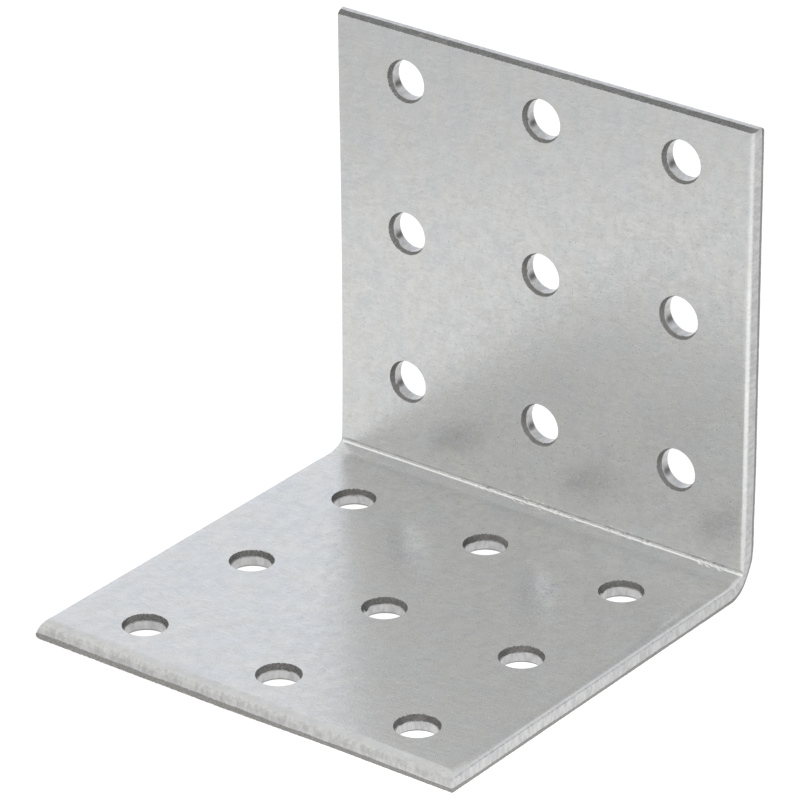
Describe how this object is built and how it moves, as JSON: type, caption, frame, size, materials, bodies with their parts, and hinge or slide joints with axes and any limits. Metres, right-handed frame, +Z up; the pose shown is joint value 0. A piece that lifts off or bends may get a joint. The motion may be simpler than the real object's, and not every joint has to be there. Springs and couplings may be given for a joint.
{
  "type": "corner brace bracket",
  "caption": "Perforated steel strip bent once to a right angle, which braces and joins timbers at a corner with screws or nails.",
  "frame": {"origin": "centre of the bracket's bounding box, at the underside of the base leg", "axes": "+Z up along the upright leg, +Y out of the upright leg's outer face, which is at the back, and X along the bend"},
  "size_m": [0.06, 0.06, 0.06],
  "materials": {
    "galvanised_steel": "hot-dip galvanised steel sheet, light grey, satin and faintly mottled"
  },
  "bodies": {
    "root": {"corner_bracket": "galvanised_steel"}
  },
  "joints": []
}
